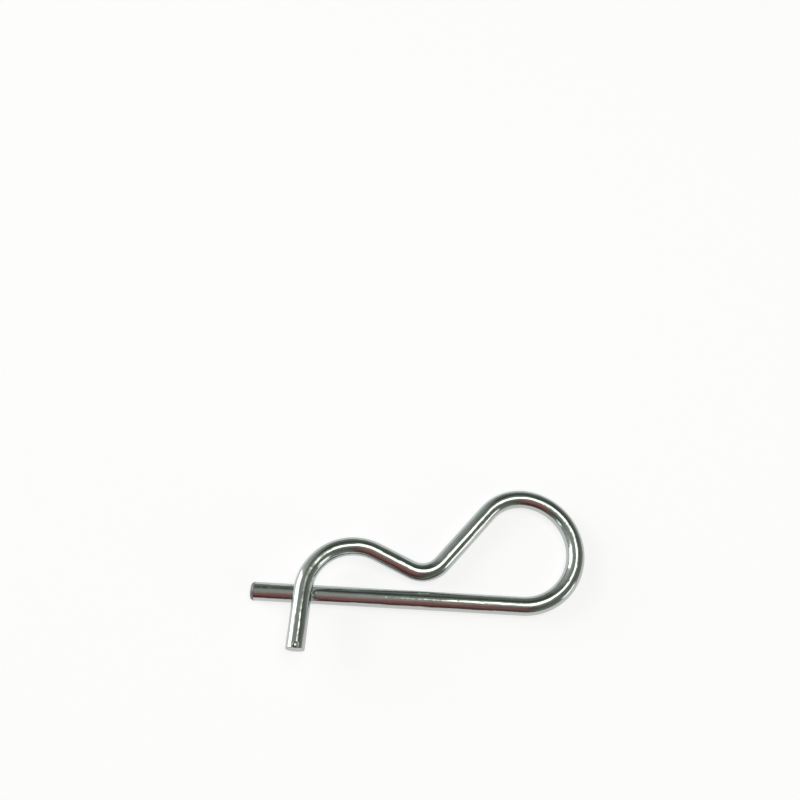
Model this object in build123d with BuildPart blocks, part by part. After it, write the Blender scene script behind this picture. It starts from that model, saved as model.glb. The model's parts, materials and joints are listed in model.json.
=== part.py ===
from build123d import *
from math import cos, radians, sin, tan
import os

os.makedirs("parts", exist_ok=True)

# Round spring wire: lengths are in millimetres, and angles in degrees, as seen from above
wire_diameter = 4.0

# Straight leg, which goes through the cross hole of a shaft
leg_length = 58.5
tip_bevel_length = 0.6
tip_bevel_depth = 0.3

# Pull loop, which is also the spring: a wide bend that tightens at its shoulder
loop_inside_radius = 10.0
loop_turn = 171.0
shoulder_inside_radius = 8.0

# Slanted run back towards the straight leg, and the valley that keeps the shaft from slipping out
slant_angle = 50.5
valley_inside_radius = 4.0
valley_gap = 2.0

# Rising run away from the straight leg, and the hump that hugs the outside of the shaft
rise_angle = 22.5
rise_run = 7.8
hump_inside_radius = 9.0

# Tail, which crosses over the straight leg and guides the shaft in
tail_angle = 89.5
tail_run = 11.6
tail_climb = 5.0
tail_clearance = 1.0

# Sheared end of the tail, with the flat that the cutting blade pressed into its upper side
tail_edge_round = 0.15
nip_length = 1.7
nip_depth = 0.25

# How far a cut runs past the faces that it opens
overrun = 0.5

# Radii of the wire's centre line
wire_radius = wire_diameter / 2
loop_radius = loop_inside_radius + wire_radius
shoulder_radius = shoulder_inside_radius + wire_radius
valley_radius = valley_inside_radius + wire_radius
hump_radius = hump_inside_radius + wire_radius

# Headings of the runs that lead back towards the straight leg's tip, and the turns between them
slant_heading = 180 + slant_angle
rise_heading = 180 - rise_angle
tail_heading = 180 + tail_angle
shoulder_turn = slant_heading - loop_turn
valley_turn = slant_heading - rise_heading
hump_turn = tail_heading - rise_heading

# How far the corner of a bend lies beyond the ends of the runs that meet there
valley_reach = valley_radius * tan(radians(valley_turn / 2))
hump_reach = hump_radius * tan(radians(hump_turn / 2))


def along(heading):
    """Level direction of a run with this heading, which is counted from the straight leg."""
    return Vector(cos(radians(heading)), sin(radians(heading)))


# The bent wire, with the straight leg's tip above the origin and its underside on the ground
with BuildPart() as bent_wire:
    with BuildLine():
        leg = Line((0, 0, wire_radius), (leg_length, 0, wire_radius))
        loop = JernArc(leg @ 1, leg % 1, loop_radius, loop_turn)
        shoulder = JernArc(loop @ 1, loop % 1, shoulder_radius, shoulder_turn)

        # The slanted run ends where the bottom of the valley is its gap away from the straight leg
        inwards = along(slant_heading - valley_turn / 2 - 90)
        corner_to_centre = valley_radius / cos(radians(valley_turn / 2))
        valley_corner_y = wire_diameter + valley_gap + valley_radius - corner_to_centre * inwards.Y
        slant_reach = (valley_corner_y - (shoulder @ 1).Y) / along(slant_heading).Y
        valley_corner = shoulder @ 1 + along(slant_heading) * slant_reach

        # The tail climbs steadily and clears the straight leg where it crosses, so the hump leans up with it
        level_corner = valley_corner + along(rise_heading) * (valley_reach + rise_run + hump_reach)
        climbing = along(tail_heading) + Vector(0, 0, tan(radians(tail_climb)))
        corner_to_leg = -level_corner.Y / climbing.Y
        corner_lift = wire_diameter + tail_clearance - climbing.Z * corner_to_leg
        hump_corner = level_corner + Vector(0, 0, corner_lift)
        tail_end = hump_corner + climbing * (hump_reach + tail_run)
        corners = (shoulder @ 1, valley_corner, hump_corner, tail_end)
        FilletPolyline(*corners, radius=(valley_radius, hump_radius))
    with BuildSketch(Plane(origin=leg @ 0, z_dir=leg % 0)):
        Circle(wire_radius)
    sweep()
    cut_faces = bent_wire.faces().filter_by(GeomType.PLANE)

    # Bevel round the tip of the straight leg
    tip = cut_faces.sort_by_distance(leg @ 0)[0]
    chamfer(tip.edges(), length=tip_bevel_depth, length2=tip_bevel_length, reference=tip)

    # Softened edge of the tail's end, and the flat on its upper side
    fillet(cut_faces.sort_by_distance(tail_end)[0].edges(), tail_edge_round)
    with BuildSketch(Plane(origin=tail_end, x_dir=climbing, z_dir=along(tail_heading - 90))):
        nip_end_drop = nip_depth / nip_length * (nip_length + overrun)
        Polygon(
            (-nip_length, wire_radius),
            (overrun, wire_radius - nip_end_drop),
            (overrun, wire_radius + overrun),
            (-nip_length, wire_radius + overrun),
            align=None,
        )
    extrude(amount=wire_radius, both=True, mode=Mode.SUBTRACT)

# The clip as it lies, with the middle of its underside at the origin
extent = bent_wire.part.bounding_box()
with BuildPart() as r_clip:
    with Locations((-extent.center().X, -extent.center().Y, -extent.min.Z)):
        add(bent_wire.part)

r_clip.part.label = "r_clip"
export_step(r_clip.part, "parts/r_clip.step")
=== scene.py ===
import json
from math import ceil, cos, pi, radians, sin, sqrt, tan

import bmesh
import bpy
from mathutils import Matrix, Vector


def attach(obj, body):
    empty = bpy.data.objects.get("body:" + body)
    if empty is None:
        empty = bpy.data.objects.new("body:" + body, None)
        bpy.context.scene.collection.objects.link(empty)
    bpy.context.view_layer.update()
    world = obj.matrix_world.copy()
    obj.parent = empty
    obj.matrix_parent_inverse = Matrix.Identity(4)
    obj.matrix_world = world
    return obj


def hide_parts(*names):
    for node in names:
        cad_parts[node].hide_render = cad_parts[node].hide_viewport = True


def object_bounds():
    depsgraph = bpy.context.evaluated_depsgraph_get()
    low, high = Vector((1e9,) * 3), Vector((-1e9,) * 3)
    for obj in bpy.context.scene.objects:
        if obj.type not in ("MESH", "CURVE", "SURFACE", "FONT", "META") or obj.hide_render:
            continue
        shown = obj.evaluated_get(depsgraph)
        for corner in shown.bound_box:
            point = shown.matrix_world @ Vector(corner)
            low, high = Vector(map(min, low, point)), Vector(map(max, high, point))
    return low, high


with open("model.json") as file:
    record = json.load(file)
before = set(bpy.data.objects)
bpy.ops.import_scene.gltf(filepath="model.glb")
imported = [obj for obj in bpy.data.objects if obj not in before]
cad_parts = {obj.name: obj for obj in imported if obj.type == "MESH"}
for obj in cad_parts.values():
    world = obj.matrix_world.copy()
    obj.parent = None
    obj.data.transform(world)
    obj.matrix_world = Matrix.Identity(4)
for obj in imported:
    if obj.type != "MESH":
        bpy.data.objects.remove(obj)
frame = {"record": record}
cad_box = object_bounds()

# The clip's centre line: one length of round spring wire, bent cold on a wire former.
# Each bend is a corner with a radius, and the wide pull loop is shared out over several corners.
# The hump and the tail lean upwards, so that the tail passes over the straight leg.
mm = 0.001
wire_diameter = 4.0 * mm
wire_radius = wire_diameter / 2
leg_length = 58.5 * mm
loop_radius = 12.0 * mm
loop_turn = 171.0
loop_corners = 3
shoulder_radius = 10.0 * mm
slant_heading = 230.5
valley_radius = 6.0 * mm
valley_gap = 2.0 * mm
rise_heading = 157.5
rise_run = 7.8 * mm
hump_radius = 11.0 * mm
tail_heading = 269.5
tail_run = 11.6 * mm
tail_climb = 5.0
tail_clearance = 1.0 * mm


def along(heading):
    """Level direction with this heading in degrees, counted from the straight leg's."""
    return Vector((cos(radians(heading)), sin(radians(heading)), 0))


def reach(radius, turn):
    """How far the corner of a bend lies beyond the end of the run that leads to it."""
    return radius * tan(radians(turn / 2))


# The straight leg, the pull loop and its tighter shoulder lie flat
corners = [(Vector((0, 0, wire_radius)), 0)]
place = Vector((leg_length, 0, wire_radius))
heading = 0
loop_bends = [(loop_radius, loop_turn / loop_corners)] * loop_corners
for radius, turn in loop_bends + [(shoulder_radius, slant_heading - loop_turn)]:
    place = place + along(heading) * reach(radius, turn)
    corners.append((place, radius))
    heading += turn
    place = place + along(heading) * reach(radius, turn)

# The slanted run goes on until the valley leaves its gap beside the straight leg
valley_turn = slant_heading - rise_heading
hump_turn = tail_heading - rise_heading
valley_middle = slant_heading - valley_turn / 2
corner_to_centre = along(valley_middle - 90) * (valley_radius / cos(radians(valley_turn / 2)))
valley_y = wire_diameter + valley_gap + valley_radius - corner_to_centre.y
valley_corner = place + along(slant_heading) * ((valley_y - place.y) / along(slant_heading).y)

# The tail climbs, and the corner of the hump is as high as the tail needs to clear the leg
hump_corner = valley_corner + along(rise_heading) * (
    reach(valley_radius, valley_turn) + rise_run + reach(hump_radius, hump_turn)
)
climbing = along(tail_heading) + Vector((0, 0, tan(radians(tail_climb))))
hump_corner.z += wire_diameter + tail_clearance - climbing.z * (-hump_corner.y / climbing.y)
tail_end = hump_corner + climbing * (reach(hump_radius, hump_turn) + tail_run)
corners += [(valley_corner, valley_radius), (hump_corner, hump_radius), (tail_end, 0)]

# Cut length of the wire: its runs from corner to corner, with an arc in place of each corner
cut_length = sum((end - start).length for (start, _), (end, _) in zip(corners, corners[1:]))
for (before, _), (corner, radius), (after, _) in zip(corners, corners[1:], corners[2:]):
    turn = (corner - before).angle(after - corner)
    cut_length += radius * turn - 2 * radius * tan(turn / 2)

# The clip's lowest X is the leg's tip, and the leg's mount lies on its axis
leg_mount = next(m for m in frame["record"]["mounts"] if m["name"] == "straight_leg")
tip_place = Vector((cad_box[0].x, leg_mount["pos_m"][1], 0))
line_data = bpy.data.curves.new("centre_line", "CURVE")
line_data.dimensions = "3D"
bends = line_data.splines.new("POLY")
bends.points.add(len(corners) - 1)
for point, (corner, radius) in zip(bends.points, corners):
    point.co = (*(tip_place + corner), 1)
    point.radius = radius
centre_line = bpy.data.objects.new("centre_line", line_data)
bpy.context.scene.collection.objects.link(centre_line)

# The wire as it comes off the cutter: a straight drawn round, bevelled at its tip by barrel tumbling.
# The other end is sheared off square, with a hollow that the blade pressed into its upper side.
# It lies along X here, with the tip at the origin and its upper side up, before it is bent.
tip_bevel_length = 0.6 * mm
tip_bevel_depth = 0.3 * mm
tip_edge_round = 0.12 * mm
tip_dull_length = 0.75 * mm
tail_edge_round = 0.15 * mm
nip_back = 0.52 * mm
nip_aside = 0.5 * mm
nip_depth = 0.25 * mm
nip_round = 1.7 * mm
ring_spacing = 0.7 * mm
nip_spacing = 0.04 * mm
sides = 176
edge_steps = 4


def eased(corner, before, after, size):
    """Points round a corner of an outline, from one size before it to one size after it."""
    start = corner + (before - corner).normalized() * size
    end = corner + (after - corner).normalized() * size
    steps = [step / edge_steps for step in range(edge_steps + 1)]
    return [start * (1 - t) ** 2 + corner * (2 * t * (1 - t)) + end * t**2 for t in steps]


def between(start, end, spacing):
    """Points between two places of an outline, no further apart than the spacing."""
    count = ceil((end - start).length / spacing)
    return [start.lerp(end, step / count) for step in range(1, count)]


# Half outline of the wire, as distance along it and radius, from the middle of one end to the other's
outline = [
    Vector((0, 0)),
    Vector((0, wire_radius - tip_bevel_depth)),
    Vector((tip_bevel_length, wire_radius)),
    Vector((cut_length, wire_radius)),
    Vector((cut_length, 0)),
]
edge_rounds = [tip_edge_round, tip_edge_round, tail_edge_round]
edges = [eased(c, b, a, r) for b, c, a, r in zip(outline, outline[1:], outline[2:], edge_rounds)]
tip_zone = Vector((tip_dull_length, wire_radius))
nip_zone = Vector((cut_length - nip_back - sqrt(2 * nip_round * nip_depth), wire_radius))
stations = [outline[0]] + between(outline[0], edges[0][0], ring_spacing)
stations += edges[0] + edges[1] + [tip_zone]
stations += between(tip_zone, nip_zone, ring_spacing) + [nip_zone]
stations += between(nip_zone, edges[2][0], nip_spacing) + edges[2]
stations += between(edges[2][-1], outline[-1], ring_spacing) + [outline[-1]]

# The finish differs on the tip, which is dull to just past its bevel, and on the sheared end
wire = bmesh.new()
tumbled_face = wire.faces.layers.bool.new("tumbled_face")
sheared_face = wire.faces.layers.bool.new("sheared_face")
rings = []
for station in stations:
    turns = [2 * pi * side / sides for side in range(sides if station.y else 1)]
    rings.append([wire.verts.new((station.x, station.y * sin(t), station.y * cos(t))) for t in turns])
for ring, next_ring in zip(rings, rings[1:]):
    for side in range(sides):
        loop = [ring[side % len(ring)], ring[(side + 1) % len(ring)]]
        loop += [next_ring[(side + 1) % len(next_ring)], next_ring[side % len(next_ring)]]
        face = wire.faces.new(dict.fromkeys(loop))
        face.smooth = True
        face[tumbled_face] = all(v.co.x <= tip_zone.x for v in loop)
        face[sheared_face] = all(v.co.x == outline[-1].x for v in loop)

# The blade's mark: a shallow ball-shaped hollow in the upper side, open to the end
nip_middle = Vector((cut_length - nip_back, nip_aside, wire_radius - nip_depth))
for vert in wire.verts:
    off = vert.co - nip_middle
    if off.xy.length < nip_round and vert.co.z > 0:
        rise = nip_round - sqrt(nip_round**2 - off.xy.length_squared)
        vert.co.z = min(vert.co.z, nip_middle.z + rise)
bmesh.ops.recalc_face_normals(wire, faces=wire.faces)

clip_mesh = bpy.data.meshes.new("straight_wire")
wire.to_mesh(clip_mesh)
wire.free()
clip = bpy.data.objects.new("r_clip_wire", clip_mesh)
bpy.context.scene.collection.objects.link(clip)


# Bright zinc plate over drawn wire: a thin, slightly green-white, nearly mirror-bright metal.
# The eye sees sharp long reflections that waver a little: drawing and bending left shallow furrows
# along the wire, the plating is cloudy, and the plating barrel left short scuffs.
def linear(hex_colour):
    """Linear red, green, blue and alpha of an sRGB hex colour."""
    shares = [int(hex_colour[place : place + 2], 16) / 255 for place in (1, 3, 5)]
    return (*[s / 12.92 if s <= 0.04045 else ((s + 0.055) / 1.055) ** 2.4 for s in shares], 1)


def add_node(tree, kind, inputs=(), **settings):
    """Adds a node with these settings, and sets each input to a value or links it to a socket."""
    node = tree.nodes.new(kind)
    for name, value in settings.items():
        setattr(node, name, value)
    for key, value in dict(inputs).items():
        if isinstance(value, bpy.types.NodeSocket):
            tree.links.new(value, node.inputs[key])
        else:
            node.inputs[key].default_value = value
    return node


def wire_metal(name):
    """A new metal, with its shader and the place that each point had on the straight wire."""
    material = bpy.data.materials.new(name)
    material.use_nodes = True
    metal = material.node_tree.nodes["Principled BSDF"]
    metal.inputs["Metallic"].default_value = 1.0
    unbent = add_node(material.node_tree, "ShaderNodeAttribute", attribute_name="unbent")
    return material, metal, unbent.outputs["Vector"]


def random_marks(unbent, sizes, detail=2.0):
    """Marks with these sizes along, across and up the straight wire."""
    tree = unbent.id_data
    scale = [1 / size for size in sizes]
    place = add_node(tree, "ShaderNodeMapping", {"Vector": unbent, "Scale": scale}).outputs["Vector"]
    marks = add_node(tree, "ShaderNodeTexNoise", {"Vector": place, "Scale": 1.0, "Detail": detail})
    return marks.outputs["Fac"]


def finish_metal(metal, pattern, tints, roughness, reliefs, pattern_range=(0.0, 1.0)):
    """Gives a metal tints and roughness that follow a pattern, and reliefs, each with its depth."""
    tree = metal.id_data
    tint = add_node(
        tree,
        "ShaderNodeMix",
        {"Factor": pattern, "A": linear(tints[0]), "B": linear(tints[1])},
        data_type="RGBA",
    )
    gloss = add_node(
        tree,
        "ShaderNodeMapRange",
        {
            "Value": pattern,
            "From Min": pattern_range[0],
            "From Max": pattern_range[1],
            "To Min": roughness[0],
            "To Max": roughness[1],
        },
    )
    normal = {}
    for height, depth in reliefs:
        bump = add_node(tree, "ShaderNodeBump", {"Height": height, "Distance": depth, **normal})
        normal = {"Normal": bump.outputs["Normal"]}
    tree.links.new(tint.outputs["Result"], metal.inputs["Base Color"])
    tree.links.new(gloss.outputs["Result"], metal.inputs["Roughness"])
    tree.links.new(normal["Normal"], metal.inputs["Normal"])


# Die lines are a few hundredths of a millimetre apart in truth, and drawn coarser so that they show.
# Depths are for the noise's full range, and it mostly keeps to the middle third of that.
die_line_spacing = 0.16 * mm
die_line_length = 9.0 * mm
die_line_depth = 0.003 * mm
furrow_width = 0.7 * mm
furrow_length = 14.0 * mm
furrow_depth = 0.045 * mm
cloud_size = 2.8 * mm
cloud_depth = 0.08 * mm
scuff_spacing = 1.8 * mm
scuff_half_width = 0.3 * mm
scuff_stretch = 3.0
scuff_depth = 0.012 * mm

plating, metal, unbent = wire_metal("bright_zinc_plate")
clouds = random_marks(unbent, (cloud_size, cloud_size, cloud_size))
furrows = random_marks(unbent, (furrow_length, furrow_width, furrow_width))
die_lines = random_marks(unbent, (die_line_length, die_line_spacing, die_line_spacing))
tree = plating.node_tree
scuff_scale = (1 / (scuff_stretch * scuff_spacing), 1 / scuff_spacing, 1 / scuff_spacing)
scuff_place = add_node(tree, "ShaderNodeMapping", {"Vector": unbent, "Scale": scuff_scale})
scuff_cells = add_node(
    tree, "ShaderNodeTexVoronoi", {"Vector": scuff_place.outputs["Vector"], "Scale": 1.0}
)
scuffs = add_node(
    tree,
    "ShaderNodeMapRange",
    {"Value": scuff_cells.outputs["Distance"], "From Max": scuff_half_width / scuff_spacing},
    interpolation_type="SMOOTHSTEP",
).outputs["Result"]
finish_metal(
    metal,
    clouds,
    tints=("#B4BAB8", "#BCC0BB"),
    roughness=(0.12, 0.17),
    reliefs=(
        (clouds, cloud_depth),
        (furrows, furrow_depth),
        (die_lines, die_line_depth),
        (scuffs, scuff_depth),
    ),
    pattern_range=(0.3, 0.7),
)

# Dull zinc on the tip: barrel tumbling rubbed the bevel and its edges.
# The eye sees a darker, matt metal with fine pits, which are drawn coarser so that they show.
pit_spacing = 0.3 * mm
pit_depth = 0.05 * mm

tumbled, metal, unbent = wire_metal("dull_zinc_on_tip")
pits = random_marks(unbent, (pit_spacing, pit_spacing, pit_spacing))
finish_metal(
    metal,
    pits,
    tints=("#7E7C80", "#A4A2A5"),
    roughness=(0.62, 0.48),
    reliefs=((pits, pit_depth),),
)

# Sheared steel under the same zinc: the blade tore the last of the tail's end, so it is matt and pale.
# Fine upright scratches follow the blade's way down.
tear_width = 0.14 * mm
tear_length = 1.4 * mm
tear_depth = 0.03 * mm

sheared, metal, unbent = wire_metal("zinc_over_sheared_steel")
tears = random_marks(unbent, (tear_width, tear_width, tear_length), detail=4.0)
finish_metal(
    metal,
    tears,
    tints=("#A9ACA9", "#C9CBC6"),
    roughness=(0.5, 0.38),
    reliefs=((tears, tear_depth),),
)

# The bending: every point of the straight wire moves to its place beside the filleted centre line.
# Its place before bending stays on it as an attribute, so that the finish follows the wire.
# Upwards stays upwards in the bends, as the wire former holds it.
bend_steps = 96
line_spacing = 0.2 * mm

tree = bpy.data.node_groups.new("bend_wire", "GeometryNodeTree")
tree.interface.new_socket("Wire", in_out="OUTPUT", socket_type="NodeSocketGeometry")
tree.interface.new_socket("Straight wire", in_out="INPUT", socket_type="NodeSocketGeometry")
bend_settings = {
    tree.interface.new_socket(name, in_out="INPUT", socket_type=kind).identifier: value
    for name, kind, value in (
        ("Centre line", "NodeSocketObject", centre_line),
        ("Cut length", "NodeSocketFloat", cut_length),
        ("Bend steps", "NodeSocketInt", bend_steps),
        ("Line spacing", "NodeSocketFloat", line_spacing),
        ("Plating", "NodeSocketMaterial", plating),
        ("Tumbled tip", "NodeSocketMaterial", tumbled),
        ("Sheared end", "NodeSocketMaterial", sheared),
    )
}
given = add_node(tree, "NodeGroupInput").outputs
corners_line = add_node(tree, "GeometryNodeObjectInfo", {"Object": given["Centre line"]})
bend_radius = add_node(tree, "GeometryNodeInputRadius")
rounded_line = add_node(
    tree,
    "GeometryNodeFilletCurve",
    {
        "Curve": corners_line.outputs["Geometry"],
        "Count": given["Bend steps"],
        "Radius": bend_radius.outputs["Radius"],
    },
    mode="POLY",
)
even_line = add_node(
    tree,
    "GeometryNodeResampleCurve",
    {"Curve": rounded_line.outputs["Curve"], "Length": given["Line spacing"]},
    mode="LENGTH",
)

# A point's X says how far along the centre line it goes, and its Y and Z how far to the side and up
position = add_node(tree, "GeometryNodeInputPosition").outputs["Position"]
kept = add_node(
    tree,
    "GeometryNodeStoreNamedAttribute",
    {"Geometry": given["Straight wire"], "Name": "unbent", "Value": position},
    data_type="FLOAT_VECTOR",
)
straight = add_node(tree, "ShaderNodeSeparateXYZ", {"Vector": position}).outputs
share = add_node(
    tree, "ShaderNodeMath", {0: straight["X"], 1: given["Cut length"]}, operation="DIVIDE"
)
line = add_node(
    tree,
    "GeometryNodeSampleCurve",
    {"Curves": even_line.outputs["Curve"], "Factor": share.outputs["Value"]},
    mode="FACTOR",
    use_all_curves=True,
).outputs
across = add_node(
    tree, "ShaderNodeVectorMath", {0: (0, 0, 1), 1: line["Tangent"]}, operation="CROSS_PRODUCT"
).outputs["Vector"]
sideways = add_node(
    tree, "ShaderNodeVectorMath", {0: across}, operation="NORMALIZE"
).outputs["Vector"]
upwards = add_node(
    tree, "ShaderNodeVectorMath", {0: line["Tangent"], 1: sideways}, operation="CROSS_PRODUCT"
).outputs["Vector"]
bent_place = line["Position"]
for direction, amount in ((sideways, straight["Y"]), (upwards, straight["Z"])):
    offset = add_node(
        tree, "ShaderNodeVectorMath", {0: direction, "Scale": amount}, operation="SCALE"
    ).outputs["Vector"]
    bent_place = add_node(
        tree, "ShaderNodeVectorMath", {0: bent_place, 1: offset}, operation="ADD"
    ).outputs["Vector"]
bent = add_node(
    tree, "GeometryNodeSetPosition", {"Geometry": kept.outputs["Geometry"], "Position": bent_place}
)
real = add_node(tree, "GeometryNodeRealizeInstances", {"Geometry": bent.outputs["Geometry"]})
finished = add_node(
    tree,
    "GeometryNodeSetMaterial",
    {"Geometry": real.outputs["Geometry"], "Material": given["Plating"]},
)
for faces, finish in (("tumbled_face", "Tumbled tip"), ("sheared_face", "Sheared end")):
    marked = add_node(
        tree, "GeometryNodeInputNamedAttribute", {"Name": faces}, data_type="BOOLEAN"
    )
    finished = add_node(
        tree,
        "GeometryNodeSetMaterial",
        {
            "Geometry": finished.outputs["Geometry"],
            "Selection": marked.outputs["Attribute"],
            "Material": given[finish],
        },
    )
add_node(tree, "NodeGroupOutput", {"Wire": finished.outputs["Geometry"]})

former = clip.modifiers.new("wire_former", "NODES")
former.node_group = tree
for identifier, value in bend_settings.items():
    former[identifier] = value
depsgraph = bpy.context.evaluated_depsgraph_get()
bent_mesh = bpy.data.meshes.new_from_object(
    clip.evaluated_get(depsgraph), preserve_all_data_layers=True, depsgraph=depsgraph
)
clip.modifiers.remove(former)
clip.data = bent_mesh
bpy.data.objects.remove(centre_line)
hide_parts("r_clip")
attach(clip, "root")

# The table under the clip: a wide sheet of matt white acrylic.
# Its glow is only for the eye and for the metal that mirrors it, and puts no more light on the clip.
# The rest of its white comes from the lamps, so the clip leaves a light shadow on it.
table_width = 2.4
table_glow = 0.73

acrylic = bpy.data.materials.new("white_acrylic_sheet")
acrylic.use_nodes = True
acrylic.cycles.emission_sampling = "NONE"
tree = acrylic.node_tree
sheet = tree.nodes["Principled BSDF"]
sheet.inputs["Base Color"].default_value = linear("#BBBBBD")
sheet.inputs["Roughness"].default_value = 0.9
sheet.inputs["Specular IOR Level"].default_value = 0.0
sheet.inputs["Emission Color"].default_value = linear("#FFFFFF")
rays = add_node(tree, "ShaderNodeLightPath").outputs
seen = rays["Is Camera Ray"]
for mirrored in (rays["Is Glossy Ray"], rays["Is Transmission Ray"]):
    either = add_node(tree, "ShaderNodeMath", {0: seen, 1: mirrored}, operation="MAXIMUM")
    seen = either.outputs["Value"]
glow = add_node(tree, "ShaderNodeMath", {0: seen, 1: table_glow}, operation="MULTIPLY")
tree.links.new(glow.outputs["Value"], sheet.inputs["Emission Strength"])
half = table_width / 2
table_mesh = bpy.data.meshes.new("table")
table_mesh.from_pydata(
    [(-half, -half, 0), (half, -half, 0), (half, half, 0), (-half, half, 0)], [], [(0, 1, 2, 3)]
)
table_mesh.materials.append(acrylic)
table = bpy.data.objects.new("table", table_mesh)
bpy.context.scene.collection.objects.link(table)

# The studio: one soft box overhead, a tall one at the far left and two small ones at the near corners.
# Azimuths are clockwise from the far side of the table, and elevations are above it, in degrees.
backdrop_colour = "#E4E5E4"

world = bpy.data.worlds.new("backdrop")
world.use_nodes = True
world.node_tree.nodes["Background"].inputs["Color"].default_value = linear(backdrop_colour)
bpy.context.scene.world = world


def towards(azimuth, elevation):
    """Direction from the clip towards this part of the room."""
    level = cos(radians(elevation))
    return Vector(
        (level * sin(radians(azimuth)), level * cos(radians(azimuth)), sin(radians(elevation)))
    )


def soft_box(name, azimuth, elevation, distance, size, power, shape="RECTANGLE", colour="#FFFFFF"):
    """An evenly lit box of this width and height, with its power in watts for each square metre."""
    lamp = bpy.data.lights.new(name, "AREA")
    lamp.shape = shape
    lamp.size, lamp.size_y = size
    lamp.energy = power * lamp.size * lamp.size_y * (pi / 4 if shape == "ELLIPSE" else 1)
    lamp.color = linear(colour)[:3]
    box = bpy.data.objects.new(name, lamp)
    box.location = towards(azimuth, elevation) * distance
    box.rotation_euler = towards(azimuth, elevation).to_track_quat("Z", "Y").to_euler()
    bpy.context.scene.collection.objects.link(box)


soft_box(
    "overhead_box",
    azimuth=66,
    elevation=75,
    distance=0.7,
    size=(0.29, 0.29),
    power=9.0,
    shape="ELLIPSE",
    colour="#FFFFF5",
)
soft_box("left_box", azimuth=-68, elevation=21, distance=1.8, size=(0.9, 1.26), power=7.5)
soft_box("right_box", azimuth=113, elevation=15, distance=1.8, size=(0.54, 0.66), power=6.0)
soft_box("front_box", azimuth=-121, elevation=22, distance=1.8, size=(0.27, 0.66), power=5.0)

# A tent of thin cloth round the table dims the room, as bright metal needs to show its form.
# It is seen only in the metal: grey-green for the most part, warm grey on the right,
# with a red-brown curtain on the camera's side and a pale glow round the left box.
tent_radius = 3.0
tent_panels = 48
tent_foot = [(0.0, "#969E99"), (0.14, "#8A928D")]
tent_slope = (0.9, "#90978F")
tent_top = (1.0, "#B2B5B0")

cloth = bpy.data.materials.new("tent_cloth")
cloth.use_nodes = True
tree = cloth.node_tree
position = add_node(tree, "ShaderNodeTexCoord").outputs["Object"]
direction = add_node(
    tree, "ShaderNodeVectorMath", {0: position}, operation="NORMALIZE"
).outputs["Vector"]
height = add_node(tree, "ShaderNodeSeparateXYZ", {"Vector": direction}).outputs["Z"]
level = add_node(
    tree, "ShaderNodeVectorMath", {0: direction, 1: (1, 1, 0)}, operation="MULTIPLY"
).outputs["Vector"]
side = add_node(
    tree, "ShaderNodeVectorMath", {0: level}, operation="NORMALIZE"
).outputs["Vector"]


def hung(stops):
    """Colours of the cloth from the table up to the top of the tent, as heights and colours."""
    ramp = add_node(tree, "ShaderNodeValToRGB", {"Fac": height})
    elements = ramp.color_ramp.elements
    while len(elements) < len(stops):
        elements.new(1.0)
    for element, (place, colour) in zip(elements, stops):
        element.position = place
        element.color = linear(colour)
    return ramp.outputs["Color"]


def faced(azimuth, spread, cloth_here, cloth_elsewhere):
    """Cloth that hangs on this side of the tent, and fades into the rest over its spread."""
    middle = towards(azimuth, 0)
    facing = add_node(tree, "ShaderNodeVectorMath", {0: side, 1: middle}, operation="DOT_PRODUCT")
    share = add_node(
        tree,
        "ShaderNodeMapRange",
        {"Value": facing.outputs["Value"], "From Min": cos(radians(spread)), "From Max": 1.0},
        interpolation_type="SMOOTHSTEP",
    ).outputs["Result"]
    mixed = add_node(
        tree,
        "ShaderNodeMix",
        {"Factor": share, "A": cloth_elsewhere, "B": cloth_here},
        data_type="RGBA",
    )
    return mixed.outputs["Result"]


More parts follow.
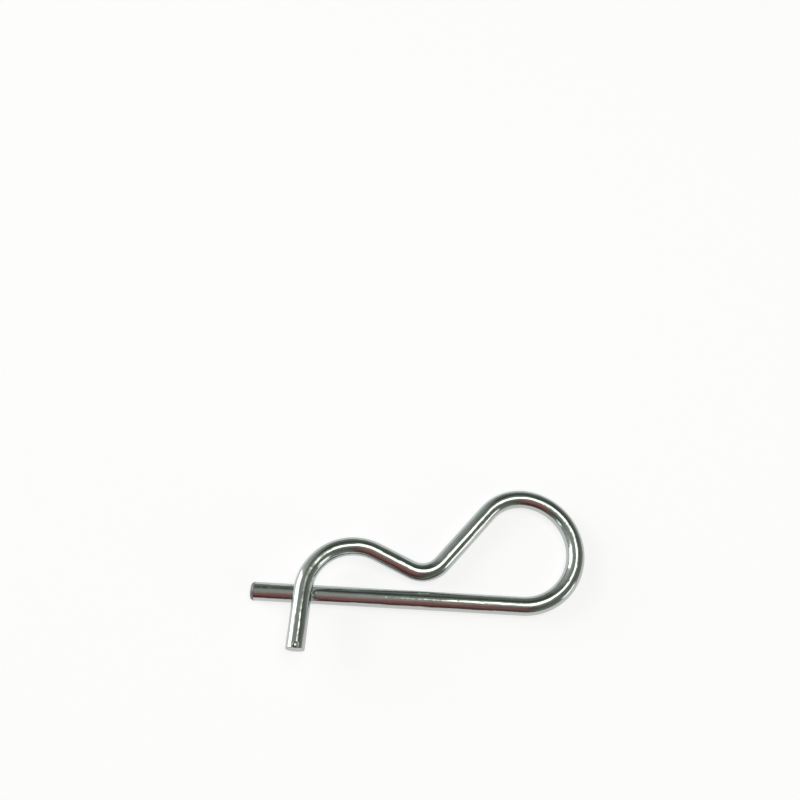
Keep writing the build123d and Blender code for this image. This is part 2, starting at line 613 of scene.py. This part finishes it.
grey_green = hung(
    [
        *tent_foot,
        (0.4, "#757E79"),
        (0.57, "#57605B"),
        (0.7, "#434C47"),
        (0.8, "#4E5752"),
        tent_slope,
        tent_top,
    ]
)
warm_grey = hung(
    [
        *tent_foot,
        (0.4, "#81847C"),
        (0.57, "#7D7F76"),
        (0.7, "#797A71"),
        (0.8, "#797A71"),
        tent_slope,
        tent_top,
    ]
)
red_brown = hung(
    [
        (0.0, "#784F50"),
        (0.17, "#683B3D"),
        (0.42, "#703F41"),
        (0.64, "#A0696A"),
        (0.83, "#9A746C"),
        tent_top,
    ]
)
pale = hung([(0.0, "#C8CCCA"), (0.7, "#C0C4C2"), (0.87, "#9DA29F"), tent_top])
shade = faced(azimuth=105, spread=60, cloth_here=warm_grey, cloth_elsewhere=grey_green)
shade = faced(azimuth=190, spread=42, cloth_here=red_brown, cloth_elsewhere=shade)
shade = faced(azimuth=-68, spread=60, cloth_here=pale, cloth_elsewhere=shade)
lit_cloth = add_node(tree, "ShaderNodeEmission", {"Color": shade})
tree.links.new(lit_cloth.outputs["Emission"], tree.nodes["Material Output"].inputs["Surface"])

# The tent is the half of a ball above the table
tent_mesh = bmesh.new()
bmesh.ops.create_uvsphere(
    tent_mesh, u_segments=tent_panels, v_segments=tent_panels // 2, radius=tent_radius
)
below = [v for v in tent_mesh.verts if v.co.z < -mm]
bmesh.ops.delete(tent_mesh, geom=below, context="VERTS")
tent_data = bpy.data.meshes.new("tent")
tent_mesh.to_mesh(tent_data)
tent_mesh.free()
tent_data.materials.append(cloth)
tent = bpy.data.objects.new("tent", tent_data)
tent.visible_camera = False
bpy.context.scene.collection.objects.link(tent)

# The camera: a pinhole above the near side of the table, looking steeply down at the clip.
# Its place and turns were found by fitting the clip's outline, and its image is 800 pixels square.
camera_place = Vector((-2.405, -35.763, 162.823)) * mm
camera_down = 64.5
camera_turn = 3.175
sensor_width = 36.0
image_pixels = 800
focal_pixels = 730.0

lens = bpy.data.cameras.new("camera")
lens.sensor_width = sensor_width
lens.lens = sensor_width * focal_pixels / image_pixels
lens.clip_start = 1 * mm
camera = bpy.data.objects.new("camera", lens)
camera.location = camera_place
camera.rotation_euler = (radians(90 - camera_down), 0, radians(camera_turn))
bpy.context.scene.collection.objects.link(camera)
bpy.context.scene.camera = camera
bpy.context.scene.view_settings.view_transform = "Standard"
